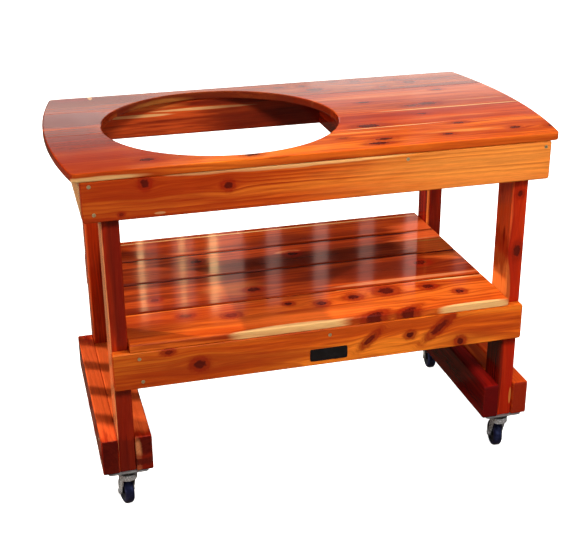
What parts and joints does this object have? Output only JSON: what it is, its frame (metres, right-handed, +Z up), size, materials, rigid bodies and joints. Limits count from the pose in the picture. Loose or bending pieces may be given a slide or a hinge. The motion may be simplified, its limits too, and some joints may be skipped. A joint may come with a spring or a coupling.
{
  "type": "kamado grill table",
  "caption": "Rolling varnished cedar table with bowed ends, a round grill cut-out left of the middle, a slatted lower shelf, three-ply end runners and swivel casters",
  "frame": {"origin": "centre of the bounding box on the floor", "axes": "X along the table with the cut-out on the -X side, the front faces -Y, Z up"},
  "size_m": [1.138, 0.615, 0.83],
  "materials": {
    "cedar_top": "glossy clear varnish over aromatic cedar, knots and pale sapwood streaks",
    "cedar_apron": "glossy clear varnish, orange to red-brown heartwood",
    "cedar_frame": "satin clear varnish, red-brown heartwood",
    "cedar_leg": "satin clear varnish, red-brown heartwood with pale sapwood edges",
    "cedar_shelf": "high-gloss clear varnish, reflective",
    "cedar_runner": "satin clear varnish, red-brown heartwood",
    "zinc": "bright zinc plate",
    "dark_zinc": "dark zinc plate",
    "caster_hub": "moulded dark grey",
    "caster_tyre": "moulded blue-black, slightly shiny"
  },
  "bodies": {
    "frame": {"top_board_1": "cedar_top", "top_board_2_left": "cedar_top", "top_board_2_right": "cedar_top", "top_board_3_left": "cedar_top", "top_board_3_right": "cedar_top", "top_board_4_left": "cedar_top", "top_board_4_right": "cedar_top", "top_board_5": "cedar_top", "upper_apron_front": "cedar_apron", "upper_apron_rear": "cedar_apron", "lower_apron_front": "cedar_apron", "lower_apron_rear": "cedar_apron", "upper_apron_left": "cedar_frame", "upper_apron_right": "cedar_frame", "upper_joist": "cedar_frame", "cross_member_left": "cedar_frame", "cross_member_middle": "cedar_frame", "cross_member_right": "cedar_frame", "leg_front_left": "cedar_leg", "leg_front_right": "cedar_leg", "leg_rear_left": "cedar_leg", "leg_rear_right": "cedar_leg", "shelf_board_1": "cedar_shelf", "shelf_board_2": "cedar_shelf", "shelf_board_3": "cedar_shelf", "shelf_board_4": "cedar_shelf", "runner_outer_left": "cedar_runner", "runner_inner_left": "cedar_runner", "runner_filler_left": "cedar_runner", "runner_outer_right": "cedar_runner", "runner_inner_right": "cedar_runner", "runner_filler_right": "cedar_runner", "caster_fl_plate": "dark_zinc", "caster_fl_race": "dark_zinc", "caster_fl_kingpin": "zinc", "caster_fr_plate": "dark_zinc", "caster_fr_race": "dark_zinc", "caster_fr_kingpin": "zinc", "caster_rl_plate": "dark_zinc", "caster_rl_race": "dark_zinc", "caster_rl_kingpin": "zinc", "caster_rr_plate": "dark_zinc", "caster_rr_race": "dark_zinc", "caster_rr_kingpin": "zinc"},
    "swivel_fl": {"caster_fl_fork": "zinc", "caster_fl_axle": "zinc"},
    "wheel_fl": {"caster_fl_hub": "caster_hub", "caster_fl_tyre": "caster_tyre"},
    "swivel_fr": {"caster_fr_fork": "zinc", "caster_fr_axle": "zinc"},
    "wheel_fr": {"caster_fr_hub": "caster_hub", "caster_fr_tyre": "caster_tyre"},
    "swivel_rl": {"caster_rl_fork": "zinc", "caster_rl_axle": "zinc"},
    "wheel_rl": {"caster_rl_hub": "caster_hub", "caster_rl_tyre": "caster_tyre"},
    "swivel_rr": {"caster_rr_fork": "zinc", "caster_rr_axle": "zinc"},
    "wheel_rr": {"caster_rr_hub": "caster_hub", "caster_rr_tyre": "caster_tyre"}
  },
  "joints": [
    {"name": "swivel_fl_turn", "type": "hinge", "parent": "frame", "child": "swivel_fl", "pos_m": [-0.463, -0.26, 0.09], "axis": [0, 0, 1], "continuous": true},
    {"name": "wheel_fl_spin", "type": "hinge", "parent": "swivel_fl", "child": "wheel_fl", "pos_m": [-0.46716, -0.24044, 0.033], "axis": [0.9781, 0.2079, 0], "continuous": true},
    {"name": "swivel_fr_turn", "type": "hinge", "parent": "frame", "child": "swivel_fr", "pos_m": [0.463, -0.26, 0.09], "axis": [0, 0, 1], "continuous": true},
    {"name": "wheel_fr_spin", "type": "hinge", "parent": "swivel_fr", "child": "wheel_fr", "pos_m": [0.46544, -0.24015, 0.033], "axis": [0.9925, -0.1219, 0], "continuous": true},
    {"name": "swivel_rl_turn", "type": "hinge", "parent": "frame", "child": "swivel_rl", "pos_m": [-0.463, 0.212, 0.09], "axis": [0, 0, 1], "continuous": true},
    {"name": "wheel_rl_spin", "type": "hinge", "parent": "swivel_rl", "child": "wheel_rl", "pos_m": [-0.46022, 0.1922, 0.033], "axis": [-0.9903, -0.1392, 0], "continuous": true},
    {"name": "swivel_rr_turn", "type": "hinge", "parent": "frame", "child": "swivel_rr", "pos_m": [0.463, 0.212, 0.09], "axis": [0, 0, 1], "continuous": true},
    {"name": "wheel_rr_spin", "type": "hinge", "parent": "swivel_rr", "child": "wheel_rr", "pos_m": [0.46091, 0.19211, 0.033], "axis": [-0.9945, 0.1045, 0], "continuous": true}
  ]
}
